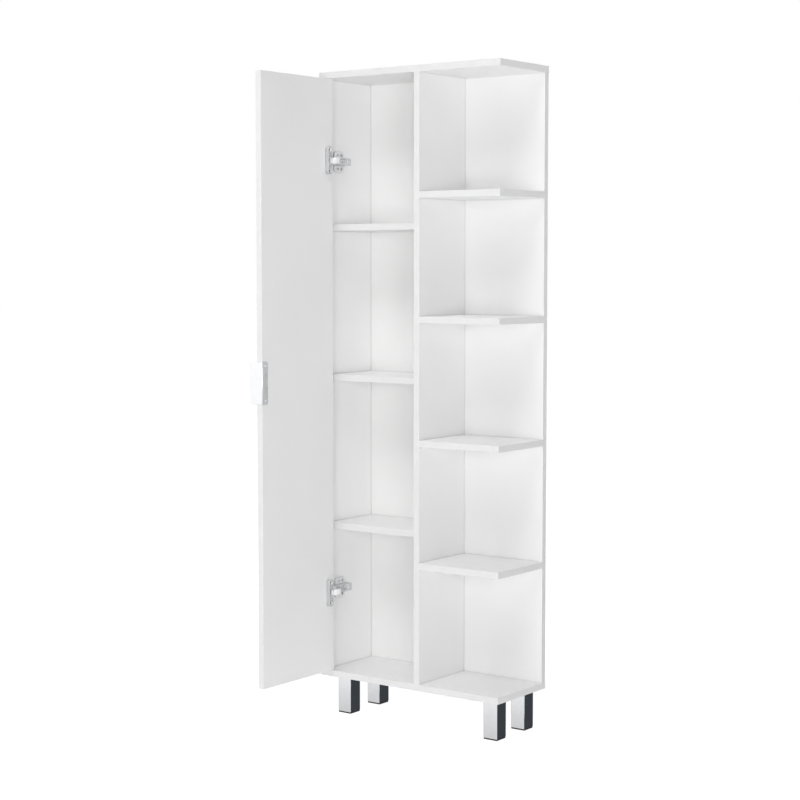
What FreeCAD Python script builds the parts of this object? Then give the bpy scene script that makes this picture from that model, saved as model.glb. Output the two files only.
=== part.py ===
# Linen cabinet: a tall, shallow cupboard with one inset door, joined to a column of open shelves,
# standing on four square chrome legs. The door is shown open at a right angle on its two hinges.
# Millimetres. X runs to the right, Y to the back and Z up. The origin is on the floor, in the middle
# of the box that holds the cabinet with its door open.
import FreeCAD, Part
import Sketcher
import math
import os
import re

SIZES = {
    # Carcass
    "cabinet_width": 508,
    "top_depth": 200,
    "carcass_height": 1430,
    "board": 15,
    "open_width": 218,
    "back_setback": 1.5,
    "hardboard": 4,
    "groove_depth": 6,
    "groove_play": 0.15,
    # Joints: tongues of the uprights and the shelves in stopped housings
    "tongue_thickness": 7,
    "housing_depth": 4,
    "housing_stop": 12,
    "housing_play": 0.1,
    # Legs and feet
    "leg_size": 37.5,
    "leg_wall": 1.5,
    "leg_height": 94,
    "leg_corner": 1,
    "leg_side_inset": 25,
    "leg_front_inset": 34.9,
    "leg_back_inset": 12.8,
    "leg_cap": 4,
    "stud_radius": 4,
    "stud_play": 0.05,
    "stud_in_board": 11,
    "stud_in_leg": 10,
    "stud_nut_radius": 7,
    "stud_nut_height": 6,
    "foot_height": 3.5,
    "foot_margin": 0.6,
    "foot_spigot": 14,
    "foot_play": 0.25,
    # Door
    "door_thickness": 15,
    "hinge_gap": 2.4,
    "free_gap": 3.1,
    "end_gap": 2.8,
    "open_offset": 10.7,
    "open_setback": 1.5,
    "shelf_gap": 2,
    # Edge pull
    "pull_length": 96,
    "pull_sheet": 1.2,
    "pull_strip": 17.8,
    "pull_reach": 19,
    "pull_tab_corner": 4,
    "pull_strip_corner": 2,
    "pull_screw_pitch": 78,
    "pull_screw_edge": 8.7,
    # Hinge cup
    "hinge_inset": 206.1,
    "cup_edge": 19.5,
    "cup_width": 12.4,
    "cup_height": 27,
    "cup_depth": 9,
    "cup_play": 0.15,
    "flange_length": 64.3,
    "flange_width": 14.5,
    "flange_height": 9,
    "flange_bevel": 0.6,
    "bowl_offset": -0.7,
    "bowl_radius": 4.2,
    "bowl_height": 21,
    "bowl_depth": 5,
    "mouth_floor": 1.5,
    "mouth_play": 0.4,
    "cup_screw_pitch": 49.5,
    "cup_screw_recess": 5,
    "cup_screw_play": 1.2,
    # Hinge link and its pin
    "pin_rise": 4.5,
    "pin_edge": 14,
    "pin_radius": 1.25,
    "pin_play": 0.05,
    "pin_seat": 2,
    "knuckle_radius": 2.6,
    "link_play": 0.3,
    "link_sheet": 1.8,
    "link_radius": 24,
    "link_start": 46,
    "link_end": 90,
    # Hinge plate and arm
    "plate_sheet": 2.5,
    "wing_front": 33.6,
    "wing_length": 36.6,
    "wing_height": 48.1,
    "wing_corner": 6.5,
    "spine_front": 22,
    "plate_screw_depth": 62,
    "plate_screw_pitch": 32,
    "spare_hole_depth": 48,
    "spare_hole_radius": 2.3,
    "spare_hole_in_board": 9,
    "arm_sheet": 1.2,
    "arm_height": 17,
    "arm_rise": 15,
    "arm_front": 20,
    "arm_nose": 7,
    "arm_nose_round": 3,
    "arm_shoulder": 29,
    "arm_rear": 78,
    "arm_round": 1,
    "web_front": 59.5,
    "arm_screw_depth": 65.5,
    "arm_slot_spread": 6.4,
    # Screws
    "wood_screw_radius": 1.75,
    "wood_screw_head": 3.4,
    "wood_screw_head_height": 2.2,
    "small_screw_radius": 1.5,
    "small_screw_head": 2.5,
    "small_screw_head_height": 1,
    "screw_grip": 11,
    "screw_play": 0.05,
}

OPEN_SHELVES = 4
CUPBOARD_SHELVES = 3

doc = FreeCAD.newDocument("linen_cabinet")
dims = doc.addObject("Spreadsheet::Sheet", "dims")
for row, (name, size) in enumerate(SIZES.items(), 1):
    dims.set(f"A{row}", name)
    dims.set(f"B{row}", str(size))
    dims.setAlias(f"B{row}", name)
doc.recompute()

# Places worked out from the sizes, as formulas of the sheet
CUPBOARD_WIDTH = "(cabinet_width - open_width - 2 * board)"
DOOR_WIDTH = f"({CUPBOARD_WIDTH} - hinge_gap - free_gap)"
DOOR_REACH = f"(open_setback + {DOOR_WIDTH} + pull_sheet)"
CARCASS_DEPTH = "(top_depth - back_setback)"
INNER_HEIGHT = "(carcass_height - 2 * board)"

LEFT = "(-cabinet_width / 2)"
RIGHT = "(cabinet_width / 2)"
FRONT = f"(({DOOR_REACH} - top_depth) / 2)"
UNDERSIDE = "leg_height"
FLOOR_BOARD = f"({UNDERSIDE} + board)"
CEILING = f"({UNDERSIDE} + carcass_height - board)"
WALL = f"({LEFT} + board)"
DIVIDER_LEFT = f"({WALL} + {CUPBOARD_WIDTH})"
DIVIDER_RIGHT = f"({DIVIDER_LEFT} + board)"
OPEN_BACK = f"({FRONT} + {CARCASS_DEPTH} - board)"
CUPBOARD_BACK = f"({OPEN_BACK} - hardboard)"
SHELF_FRONT = f"({FRONT} + door_thickness + shelf_gap)"

DOOR_OUTSIDE = f"({WALL} + open_offset)"
DOOR_INSIDE = f"({DOOR_OUTSIDE} + door_thickness)"
HINGE_EDGE = f"({FRONT} - open_setback)"
FREE_EDGE = f"({HINGE_EDGE} - {DOOR_WIDTH})"
DOOR_BOTTOM = f"({FLOOR_BOARD} + end_gap)"
DOOR_HEIGHT = f"({INNER_HEIGHT} - 2 * end_gap)"
PULL_HEIGHT = f"({DOOR_BOTTOM} + {DOOR_HEIGHT} / 2)"
HINGES = {
    "lower": f"({UNDERSIDE} + hinge_inset)",
    "upper": f"({UNDERSIDE} + carcass_height - hinge_inset)",
}

FORK_WIDTH = "(arm_height - 2 * arm_sheet)"
LINK_HEIGHT = f"({FORK_WIDTH} - 2 * link_play)"
MOUTH_HEIGHT = f"({LINK_HEIGHT} + 2 * mouth_play)"

SIZE_NAME = re.compile(r"\b[a-z][a-z_]+\b(?!\()")
X_AXIS = FreeCAD.Vector(1, 0, 0)
Y_AXIS = FreeCAD.Vector(0, 1, 0)
Z_AXIS = FreeCAD.Vector(0, 0, 1)
UPRIGHT = FreeCAD.Rotation()
# Turns a piece drawn flat so that its own X, Y and Z run along the cabinet's Y, Z and X
FACING_RIGHT = FreeCAD.Rotation(FreeCAD.Vector(1, 1, 1), 120)

subparts = []


def in_sheet(formula):
    """Point each size name in a formula at its cell."""
    return SIZE_NAME.sub(lambda name: f"dims.{name.group()}", formula)


def bind(item, prop, formula):
    item.setExpression(prop, in_sheet(formula))


def value(formula):
    return float(dims.evalExpression(in_sheet(formula)))


def place(item, x, y, z, rotation=UPRIGHT):
    item.Placement = FreeCAD.Placement(FreeCAD.Vector(), rotation)
    for axis, formula in zip("xyz", (x, y, z)):
        bind(item, f"Placement.Base.{axis}", formula)


def keep(item):
    """Mark an object as a finished piece of the cabinet."""
    subparts.append(item)
    return item


def slab(name, size, corner):
    box = doc.addObject("Part::Box", name)
    for prop, formula in zip(("Length", "Width", "Height"), size):
        bind(box, prop, formula)
    place(box, *corner)
    return box


def rod(name, radius, length, start, direction):
    cylinder = doc.addObject("Part::Cylinder", name)
    bind(cylinder, "Radius", radius)
    bind(cylinder, "Height", length)
    place(cylinder, *start, rotation=FreeCAD.Rotation(Z_AXIS, direction))
    return cylinder


def fuse(name, solids):
    fused = doc.addObject("Part::MultiFuse", name)
    fused.Shapes = solids
    fused.Refine = True
    return fused


def group(name, solids):
    compound = doc.addObject("Part::Compound", name)
    compound.Links = solids
    return compound


def cut(name, blank, cutters):
    finished = doc.addObject("Part::Cut", name)
    finished.Base = blank
    finished.Tool = group(f"{name}_cutters", cutters)
    return finished


def behind(point, direction, distance):
    """The point that lies a distance back from another one, against a direction."""
    return [f"{place} - ({distance}) * ({part:g})" for place, part in zip(point, direction)]


def screw(name, seat, direction, kind, length):
    """A pan head on its seat, and a shank of a given length that runs on from it along the direction."""
    height = f"{kind}_screw_head_height"
    head = rod(f"{name}_head", f"{kind}_screw_head", height, behind(seat, direction, height), direction)
    shank = rod(f"{name}_shank", f"{kind}_screw_radius", length, seat, direction)
    return fuse(name, [head, shank])


def sketch_in(body, role, name, height="0"):
    sketch = body.newObject("Sketcher::SketchObject", name)
    plane = next(item for item in body.Origin.OriginFeatures if item.Role == role)
    sketch.AttachmentSupport = [(plane, "")]
    sketch.MapMode = "FlatFace"
    bind(sketch, "AttachmentOffset.Base.z", height)
    return sketch


def hold(sketch, constraint, formula):
    index = sketch.addConstraint(constraint)
    bind(sketch, f"Constraints[{index}]", formula)


def fix(sketch, geometry, point, x, y):
    """Hold a point of a sketch at its two coordinates."""
    hold(sketch, Sketcher.Constraint("DistanceX", -1, 1, geometry, point, value(x)), x)
    hold(sketch, Sketcher.Constraint("DistanceY", -1, 1, geometry, point, value(y)), y)


def polygon(sketch, corners):
    points = [FreeCAD.Vector(value(x), value(y), 0) for x, y in corners]
    ends = points[1:] + points[:1]
    lines = [sketch.addGeometry(Part.LineSegment(a, b), False) for a, b in zip(points, ends)]
    for line, following in zip(lines, lines[1:] + lines[:1]):
        sketch.addConstraint(Sketcher.Constraint("Coincident", line, 2, following, 1))
    for line, (x, y) in zip(lines, corners):
        fix(sketch, line, 1, x, y)


def rectangle(sketch, left, bottom, right, top):
    polygon(sketch, [(left, bottom), (right, bottom), (right, top), (left, top)])


def square(sketch, side):
    rectangle(sketch, f"-({side}) / 2", f"-({side}) / 2", f"({side}) / 2", f"({side}) / 2")


def circle(sketch, x, y, radius):
    centre = FreeCAD.Vector(value(x), value(y), 0)
    ring = sketch.addGeometry(Part.Circle(centre, Z_AXIS, value(radius)), False)
    fix(sketch, ring, 3, x, y)
    hold(sketch, Sketcher.Constraint("Radius", ring, value(radius)), radius)


def stadium(sketch, x, y, spread, radius):
    """Two half circles, set apart along the sketch's upright axis, and the two lines that join them."""
    ends = (f"{y} + ({spread}) / 2", f"{y} - ({spread}) / 2")
    centre_x = value(x)
    round_radius = value(radius)
    arcs = []
    for end, start_angle in zip(ends, (0, math.pi)):
        ring = Part.Circle(FreeCAD.Vector(centre_x, value(end), 0), Z_AXIS, round_radius)
        arcs.append(sketch.addGeometry(Part.ArcOfCircle(ring, start_angle, start_angle + math.pi), False))
    top, bottom = arcs
    heights = [value(end) for end in ends]
    sides = []
    for offset, (first, last) in ((-round_radius, heights), (round_radius, heights[::-1])):
        begin = FreeCAD.Vector(centre_x + offset, first, 0)
        finish = FreeCAD.Vector(centre_x + offset, last, 0)
        sides.append(sketch.addGeometry(Part.LineSegment(begin, finish), False))
    for first, following in ((top, sides[0]), (sides[0], bottom), (bottom, sides[1]), (sides[1], top)):
        sketch.addConstraint(Sketcher.Constraint("Tangent", first, 2, following, 1))
    for arc, end in zip(arcs, ends):
        fix(sketch, arc, 3, x, end)
        hold(sketch, Sketcher.Constraint("Radius", arc, round_radius), radius)


def extrude(body, kind, sketch, length, symmetric=False):
    """Pad or pocket a sketch, to one side or evenly to both."""
    feature = body.newObject(f"PartDesign::{kind}", f"{sketch.Name}_{kind.lower()}")
    feature.Profile = sketch
    feature.SideType = "Symmetric" if symmetric else "One side"
    bind(feature, "Length", length)
    return feature


def pad(body, sketch, length, symmetric=False):
    return extrude(body, "Pad", sketch, length, symmetric)


def pocket(body, sketch, length, symmetric=False):
    """Cut a sketch out of its body, and make sure that the cut takes something away."""
    doc.recompute()
    volume = body.Tip.Shape.Volume
    feature = extrude(body, "Pocket", sketch, length, symmetric)
    doc.recompute()
    if feature.Shape.Volume >= volume:
        raise RuntimeError(f"{feature.Label} cuts nothing")
    return feature


def dress_edges(body, kind, measure, size, chosen):
    """Work on the chosen edges of a body's latest step."""
    doc.recompute()
    base = body.Tip
    names = [f"Edge{number}" for number, edge in enumerate(base.Shape.Edges, 1) if chosen(edge)]
    dressed = body.newObject(f"PartDesign::{kind}", f"{body.Name}_{kind.lower()}")
    dressed.Base = (base, names)
    bind(dressed, measure, size)
    return dressed


def round_edges(body, radius, chosen):
    return dress_edges(body, "Fillet", "Radius", radius, chosen)


def bevel_edges(body, size, chosen):
    return dress_edges(body, "Chamfer", "Size", size, chosen)


def near(number, formula):
    return abs(number - value(formula)) < 1e-4


def runs_along(edge, axis):
    """True for a straight edge that is parallel to an axis."""
    return isinstance(edge.Curve, Part.Line) and abs(edge.Curve.Direction.dot(axis)) > 0.999


def new_body(name):
    return keep(doc.addObject("PartDesign::Body", name))


# Cutters that each board needs for the pieces let into it
bores = {}


def let_into(board, cutter):
    bores.setdefault(board, []).append(cutter)


# Tongues of the boards, each in a stopped housing of the board that it meets
tongues = {}


def tongue(name, board, size, corner, open_sides):
    """A tongue, and the housing cut round it: play all round, and closed on the sides that are stopped."""
    block = slab(name, size, corner)
    grown = [f"{length} + housing_play * {sum(sides)}" for length, sides in zip(size, open_sides)]
    shifted = [f"{place} - housing_play * {sides[0]}" for place, sides in zip(corner, open_sides)]
    let_into(board, slab(f"{name}_housing", grown, shifted))
    return block


def make_upright_tongues():
    """A tongue at both ends of each upright, let into the top and the bottom panel."""
    margin = "(board - tongue_thickness) / 2"
    side_front = f"{FRONT} + housing_stop"
    side_size = ("tongue_thickness", f"({CUPBOARD_BACK} - {FRONT} - 2 * housing_stop)", "housing_depth")
    back_size = ("open_width - 2 * housing_stop", "tongue_thickness", "housing_depth")
    uprights = {
        "left_side_panel": (side_size, (f"{LEFT} + {margin}", side_front)),
        "divider_panel": (side_size, (f"{DIVIDER_LEFT} + {margin}", side_front)),
        "open_back_panel": (back_size, (f"{DIVIDER_RIGHT} + housing_stop", f"{OPEN_BACK} + {margin}")),
    }
    for name, (size, (x, y)) in uprights.items():
        top = tongue(f"{name}_top_tongue", "top_panel", size, (x, y, CEILING), ((1, 1), (1, 1), (0, 1)))
        bottom = tongue(f"{name}_bottom_tongue", "bottom_panel", size,
                        (x, y, f"{FLOOR_BOARD} - housing_depth"), ((1, 1), (1, 1), (1, 0)))
        tongues[name] = [top, bottom]


def shelf_height(number, count):
    """Underside of a shelf, counted from the lowest, in a column of equal spaces."""
    space = f"(({INNER_HEIGHT} - {count} * board) / {count + 1})"
    return f"({FLOOR_BOARD} + {number} * {space} + {number - 1} * board)"


def shelf(name, size, corner, end_tongues):
    return keep(fuse(name, [slab(f"{name}_board", size, corner)] + end_tongues))


def make_open_shelf(number):
    """A shelf held on its left by the divider and along its rear edge by the open side's back."""
    name = f"open_shelf_{number}"
    z = shelf_height(number, OPEN_SHELVES)
    depth = f"({CARCASS_DEPTH} - board)"
    left = tongue(f"{name}_left_tongue", "divider_panel",
                  ("housing_depth", f"{depth} - 2 * housing_stop", "board"),
                  (f"{DIVIDER_RIGHT} - housing_depth", f"{FRONT} + housing_stop", z),
                  ((1, 0), (1, 1), (1, 1)))
    rear = tongue(f"{name}_rear_tongue", "open_back_panel",
                  ("open_width - 2 * housing_stop", "housing_depth", "board"),
                  (f"{DIVIDER_RIGHT} + housing_stop", OPEN_BACK, z), ((1, 1), (0, 1), (1, 1)))
    shelf(name, ("open_width", depth, "board"), (DIVIDER_RIGHT, FRONT, z), [left, rear])


def make_cupboard_shelf(number):
    """A shelf behind the door, held at both ends."""
    name = f"cupboard_shelf_{number}"
    z = shelf_height(number, CUPBOARD_SHELVES)
    depth = f"({CUPBOARD_BACK} - {SHELF_FRONT})"
    size = ("housing_depth", f"{depth} - 2 * housing_stop", "board")
    front = f"{SHELF_FRONT} + housing_stop"
    left = tongue(f"{name}_left_tongue", "left_side_panel", size,
                  (f"{WALL} - housing_depth", front, z), ((1, 0), (1, 1), (1, 1)))
    right = tongue(f"{name}_right_tongue", "divider_panel", size,
                   (DIVIDER_LEFT, front, z), ((0, 1), (1, 1), (1, 1)))
    shelf(name, (CUPBOARD_WIDTH, depth, "board"), (WALL, SHELF_FRONT, z), [left, right])


# Screws and the pilot holes that they leave in the boards
screws = {"hinge_plate": [], "hinge_arm": [], "hinge_cup": [], "pull": []}


def drive(family, board, seat, direction, kind, through):
    """A screw that goes through its fitting into a board, and the pilot hole that it leaves there."""
    name = f"{family}_screw_{len(screws[family]) + 1}"
    radius = f"{kind}_screw_radius"
    length = f"({through} + screw_grip)"
    screws[family].append(screw(name, seat, direction, kind, length))
    let_into(board, rod(f"{name}_pilot", f"{radius} + screw_play", f"{length} + screw_play", seat, direction))


LEG_PLACES = {
    "front_left": (f"{LEFT} + leg_side_inset + leg_size / 2", f"{FRONT} + leg_front_inset + leg_size / 2"),
    "front_right": (f"{RIGHT} - leg_side_inset - leg_size / 2", f"{FRONT} + leg_front_inset + leg_size / 2"),
    "back_left": (f"{LEFT} + leg_side_inset + leg_size / 2",
                  f"{FRONT} + top_depth - leg_back_inset - leg_size / 2"),
    "back_right": (f"{RIGHT} - leg_side_inset - leg_size / 2",
                   f"{FRONT} + top_depth - leg_back_inset - leg_size / 2"),
}


def make_leg(name, x, y):
    """A square tube closed by a welded cap, which a stud holds to the underside of the cabinet."""
    leg = new_body(f"leg_{name}")
    place(leg, x, y, UNDERSIDE)
    tube = sketch_in(leg, "XY_Plane", f"{name}_tube", "foot_height - leg_height")
    square(tube, "leg_size")
    pad(leg, tube, "leg_height - foot_height")
    round_edges(leg, "leg_corner", lambda edge: runs_along(edge, Z_AXIS))
    hollow = sketch_in(leg, "XY_Plane", f"{name}_hollow", "-leg_cap")
    square(hollow, "leg_size - 2 * leg_wall")
    pocket(leg, hollow, "leg_height - foot_height - leg_cap")
    hole = sketch_in(leg, "XY_Plane", f"{name}_stud_hole")
    circle(hole, "0", "0", "stud_radius + stud_play")
    pocket(leg, hole, "leg_cap")


def make_leg_stud(name, x, y):
    """A stud let into the bottom panel, with a nut that draws the leg's cap up against the panel."""
    bottom = f"{UNDERSIDE} - stud_in_leg"
    length = "(stud_in_leg + stud_in_board)"
    stud = rod(f"{name}_stud", "stud_radius", length, (x, y, bottom), Z_AXIS)
    nut = doc.addObject("Part::Prism", f"{name}_nut")
    nut.Polygon = 6
    bind(nut, "Circumradius", "stud_nut_radius")
    bind(nut, "Height", "stud_nut_height")
    place(nut, x, y, f"{UNDERSIDE} - leg_cap - stud_nut_height")
    let_into("bottom_panel", rod(f"{name}_stud_bore", "stud_radius + stud_play", "stud_in_board + stud_play",
                                 (x, y, UNDERSIDE), Z_AXIS))
    return fuse(f"leg_stud_{name}", [stud, nut])


def make_foot(name, x, y):
    """A plastic glide: a thin sole under the tube and a spigot that plugs into it."""
    foot = new_body(f"foot_{name}")
    place(foot, x, y, "0")
    sole = sketch_in(foot, "XY_Plane", f"{name}_sole")
    square(sole, "leg_size - 2 * foot_margin")
    pad(foot, sole, "foot_height")
    round_edges(foot, "leg_corner", lambda edge: runs_along(edge, Z_AXIS))
    spigot = sketch_in(foot, "XY_Plane", f"{name}_spigot", "foot_height")
    square(spigot, "leg_size - 2 * leg_wall - 2 * foot_play")
    pad(foot, spigot, "foot_spigot")


def make_hinge_plate(name, z):
    """A winged plate on the side panel, with a screw and a spare hole in each wing, under the hinge arm."""
    plate = new_body(f"hinge_plate_{name}")
    place(plate, WALL, FRONT, z, FACING_RIGHT)
    wings = sketch_in(plate, "XY_Plane", f"{name}_wings")
    rectangle(wings, "wing_front", "-wing_height / 2", "wing_front + wing_length", "wing_height / 2")
    pad(plate, wings, "plate_sheet")
    round_edges(plate, "wing_corner", lambda edge: runs_along(edge, Z_AXIS))
    spine = sketch_in(plate, "XY_Plane", f"{name}_spine")
    rectangle(spine, "spine_front", "-arm_height / 2", "arm_rear", "arm_height / 2")
    pad(plate, spine, "plate_sheet")
    holes = sketch_in(plate, "XY_Plane", f"{name}_plate_holes", "plate_sheet")
    circle(holes, "arm_screw_depth", "0", "small_screw_radius + screw_play")
    for number, side in enumerate((-1, 1), 1):
        offset = f"{side} * plate_screw_pitch / 2"
        circle(holes, "plate_screw_depth", offset, "wood_screw_radius + screw_play")
        circle(holes, "spare_hole_depth", offset, "spare_hole_radius")
        seat = (f"{WALL} + plate_sheet", f"{FRONT} + plate_screw_depth", f"{z} + {offset}")
        drive("hinge_plate", "left_side_panel", seat, -X_AXIS, "wood", "plate_sheet")
        spare_bore = rod(f"{name}_spare_bore_{number}", "spare_hole_radius", "spare_hole_in_board",
                         (WALL, f"{FRONT} + spare_hole_depth", f"{z} + {offset}"), -X_AXIS)
        let_into("left_side_panel", spare_bore)
    pocket(plate, holes, "plate_sheet")


def make_hinge_arm(name, z):
    """A folded channel: two cheeks that fork forward round the link, and a web with a slot for its screw."""
    arm = new_body(f"hinge_arm_{name}")
    place(arm, f"{WALL} + plate_sheet", FRONT, z)
    cheek = sketch_in(arm, "XY_Plane", f"{name}_cheek")
    polygon(cheek, [("0", "arm_front"), ("arm_nose", "arm_front"), ("arm_rise", "arm_shoulder"),
                    ("arm_rise", "arm_rear"), ("0", "arm_rear")])
    pad(arm, cheek, "arm_height", symmetric=True)
    round_edges(arm, "arm_nose_round", lambda edge: runs_along(edge, Z_AXIS)
                and near(edge.CenterOfMass.x, "arm_nose"))
    round_edges(arm, "arm_round", lambda edge: runs_along(edge, Y_AXIS)
                and near(edge.CenterOfMass.x, "arm_rise"))
    channel = sketch_in(arm, "XY_Plane", f"{name}_channel")
    past_front = "arm_front - arm_sheet"
    past_rear = "arm_rear + arm_sheet"
    above = "arm_rise + arm_sheet"
    under_web = "arm_rise - arm_sheet"
    polygon(channel, [("-arm_sheet", past_front), (above, past_front), (above, "web_front"),
                      (under_web, "web_front"), (under_web, past_rear), ("-arm_sheet", past_rear)])
    pocket(arm, channel, FORK_WIDTH, symmetric=True)
    slot = sketch_in(arm, "YZ_Plane", f"{name}_arm_slot", "arm_rise")
    stadium(slot, "arm_screw_depth", "0", "arm_slot_spread", "small_screw_radius + screw_play")
    pocket(arm, slot, "arm_sheet")
    seat = (f"{WALL} + plate_sheet + arm_rise", f"{FRONT} + arm_screw_depth", z)
    length = "arm_rise + plate_sheet - screw_play"
    screws["hinge_arm"].append(screw(f"{name}_arm_screw", seat, -X_AXIS, "small", length))


CUP_SPREAD = "(cup_height - cup_width)"


def make_cup_pocket(name, z):
    """The pocket in the door round a cup's boss: two round ends, and a block between them."""
    radius = "(cup_width / 2 + cup_play)"
    depth = "(cup_depth + cup_play)"
    y = f"({HINGE_EDGE} - cup_edge)"
    low = f"({z} - {CUP_SPREAD} / 2)"
    middle = slab(f"{name}_cup_pocket_middle", (depth, f"2 * {radius}", CUP_SPREAD),
                  (f"{DOOR_INSIDE} - {depth}", f"{y} - {radius}", low))
    ends = [rod(f"{name}_cup_pocket_{end}", radius, depth, (DOOR_INSIDE, y, height), -X_AXIS)
            for end, height in (("bottom", low), ("top", f"{low} + {CUP_SPREAD}"))]
    let_into("door_panel", fuse(f"{name}_cup_pocket", [middle] + ends))


def make_hinge_cup(name, z):
    """A die-cast cup: a boss let into the door under a raised flange, with a bowl that opens for the link."""
    cup = new_body(f"hinge_cup_{name}")
    place(cup, DOOR_INSIDE, f"{HINGE_EDGE} - cup_edge", z, FACING_RIGHT)
    boss = sketch_in(cup, "XY_Plane", f"{name}_boss", "-cup_depth")
    stadium(boss, "0", "0", CUP_SPREAD, "cup_width / 2")
    pad(cup, boss, "cup_depth")
    flange = sketch_in(cup, "XY_Plane", f"{name}_flange")
    stadium(flange, "0", "0", "flange_length - flange_width", "flange_width / 2")
    pad(cup, flange, "flange_height")
    bevel_edges(cup, "flange_bevel", lambda edge: near(edge.BoundBox.ZMin, "flange_height")
                and near(edge.BoundBox.ZMax, "flange_height"))
    bowl = sketch_in(cup, "XY_Plane", f"{name}_bowl", "flange_height")
    stadium(bowl, "bowl_offset", "0", "bowl_height - 2 * bowl_radius", "bowl_radius")
    pocket(cup, bowl, "flange_height + bowl_depth")
    mouth = sketch_in(cup, "XY_Plane", f"{name}_mouth", "flange_height")
    rectangle(mouth, "bowl_offset", f"-{MOUTH_HEIGHT} / 2", "flange_width", f"{MOUTH_HEIGHT} / 2")
    pocket(cup, mouth, "flange_height - mouth_floor")
    pin_hole = sketch_in(cup, "XZ_Plane", f"{name}_pin_hole")
    circle(pin_hole, "cup_edge - pin_edge", "pin_rise", "pin_radius + pin_play")
    pocket(cup, pin_hole, f"{MOUTH_HEIGHT} + 2 * pin_seat", symmetric=True)
    recesses = sketch_in(cup, "XY_Plane", f"{name}_recesses", "flange_height")
    holes = sketch_in(cup, "XY_Plane", f"{name}_cup_holes", "flange_height")
    for side in (-1, 1):
        circle(recesses, "0", f"{side} * cup_screw_pitch / 2", "wood_screw_head + cup_screw_play")
        circle(holes, "0", f"{side} * cup_screw_pitch / 2", "wood_screw_radius + screw_play")
        seat = (f"{DOOR_INSIDE} + flange_height - cup_screw_recess", f"{HINGE_EDGE} - cup_edge",
                f"{z} + {side} * cup_screw_pitch / 2")
        drive("hinge_cup", "door_panel", seat, -X_AXIS, "wood", "flange_height - cup_screw_recess")
    pocket(cup, recesses, "cup_screw_recess")
    pocket(cup, holes, "flange_height")
    make_cup_pocket(name, z)


PIN_X = f"({DOOR_INSIDE} + pin_rise)"
PIN_Y = f"({HINGE_EDGE} - pin_edge)"


def make_hinge_pin(name, z):
    """The pin across the cup's mouth, seated in both of its walls."""
    length = f"({MOUTH_HEIGHT} + 2 * pin_seat - 2 * pin_play)"
    return rod(f"hinge_pin_{name}", "pin_radius", length, (PIN_X, PIN_Y, f"{z} - {length} / 2"), Z_AXIS)


def make_hinge_link(name, z):
    """A strip bent to an arc, with a knuckle round the cup's pin, whose tail lies in the arm's fork."""
    link = new_body(f"hinge_link_{name}")
    place(link, f"{PIN_X} - link_radius * cos(link_start)", f"{PIN_Y} + link_radius * sin(link_start)", z,
          FreeCAD.Rotation(Z_AXIS, -value("link_start")))
    bind(link, "Placement.Rotation.Angle", "-link_start")
    strip = sketch_in(link, "XZ_Plane", f"{name}_strip")
    rectangle(strip, "link_radius - link_sheet / 2", f"-{LINK_HEIGHT} / 2", "link_radius + link_sheet / 2",
              f"{LINK_HEIGHT} / 2")
    bend = link.newObject("PartDesign::Revolution", f"{name}_bend")
    bend.Profile = strip
    bend.ReferenceAxis = (strip, ["V_Axis"])
    bind(bend, "Angle", "link_start + link_end")
    knuckle = sketch_in(link, "XY_Plane", f"{name}_knuckle")
    circle(knuckle, "link_radius", "0", "knuckle_radius")
    pad(link, knuckle, LINK_HEIGHT, symmetric=True)
    eye = sketch_in(link, "XY_Plane", f"{name}_eye")
    circle(eye, "link_radius", "0", "pin_radius + pin_play")
    pocket(link, eye, LINK_HEIGHT, symmetric=True)


def make_edge_pull():
    """A strip of aluminium bent to an angle: one leg on the door's inner face, the other past its edge."""
    pull = new_body("edge_pull")
    place(pull, DOOR_INSIDE, FREE_EDGE, PULL_HEIGHT)
    tab = "(door_thickness + pull_reach)"
    angle = sketch_in(pull, "XY_Plane", "pull_angle")
    polygon(angle, [(f"-{tab}", "-pull_sheet"), ("pull_sheet", "-pull_sheet"), ("pull_sheet", "pull_strip"),
                    ("0", "pull_strip"), ("0", "0"), (f"-{tab}", "0")])
    pad(pull, angle, "pull_length", symmetric=True)
    round_edges(pull, "pull_sheet", lambda edge: runs_along(edge, Z_AXIS)
                and near(edge.CenterOfMass.x, "pull_sheet") and near(edge.CenterOfMass.y, "-pull_sheet"))
    round_edges(pull, "pull_tab_corner", lambda edge: runs_along(edge, Y_AXIS)
                and near(edge.CenterOfMass.x, f"-{tab}"))
    round_edges(pull, "pull_strip_corner", lambda edge: runs_along(edge, X_AXIS)
                and near(edge.CenterOfMass.y, "pull_strip"))
    holes = sketch_in(pull, "YZ_Plane", "pull_holes", "pull_sheet")
    for side in (-1, 1):
        circle(holes, "pull_screw_edge", f"{side} * pull_screw_pitch / 2", "small_screw_radius + screw_play")
        seat = (f"{DOOR_INSIDE} + pull_sheet", f"{FREE_EDGE} + pull_screw_edge",
                f"{PULL_HEIGHT} + {side} * pull_screw_pitch / 2")
        drive("pull", "door_panel", seat, -X_AXIS, "small", "pull_sheet")
    pocket(pull, holes, "pull_sheet")


def groove(name, size, corner):
    """A groove for the cupboard's thin back, a little wider than the sheet."""
    width, height = size
    x, z = corner
    return slab(name, (width, "hardboard + 2 * groove_play", height),
                (x, f"{CUPBOARD_BACK} - groove_play", z))


GROOVE_LEFT = f"({WALL} - groove_depth)"
GROOVED_WIDTH = f"({CUPBOARD_WIDTH} + 2 * groove_depth)"
GROOVES = {
    "top_panel": ((GROOVED_WIDTH, "groove_depth"), (GROOVE_LEFT, CEILING)),
    "bottom_panel": ((GROOVED_WIDTH, "groove_depth"), (GROOVE_LEFT, f"{FLOOR_BOARD} - groove_depth")),
    "left_side_panel": (("groove_depth", INNER_HEIGHT), (GROOVE_LEFT, FLOOR_BOARD)),
    "divider_panel": (("groove_depth", INNER_HEIGHT), (DIVIDER_LEFT, FLOOR_BOARD)),
}


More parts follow.
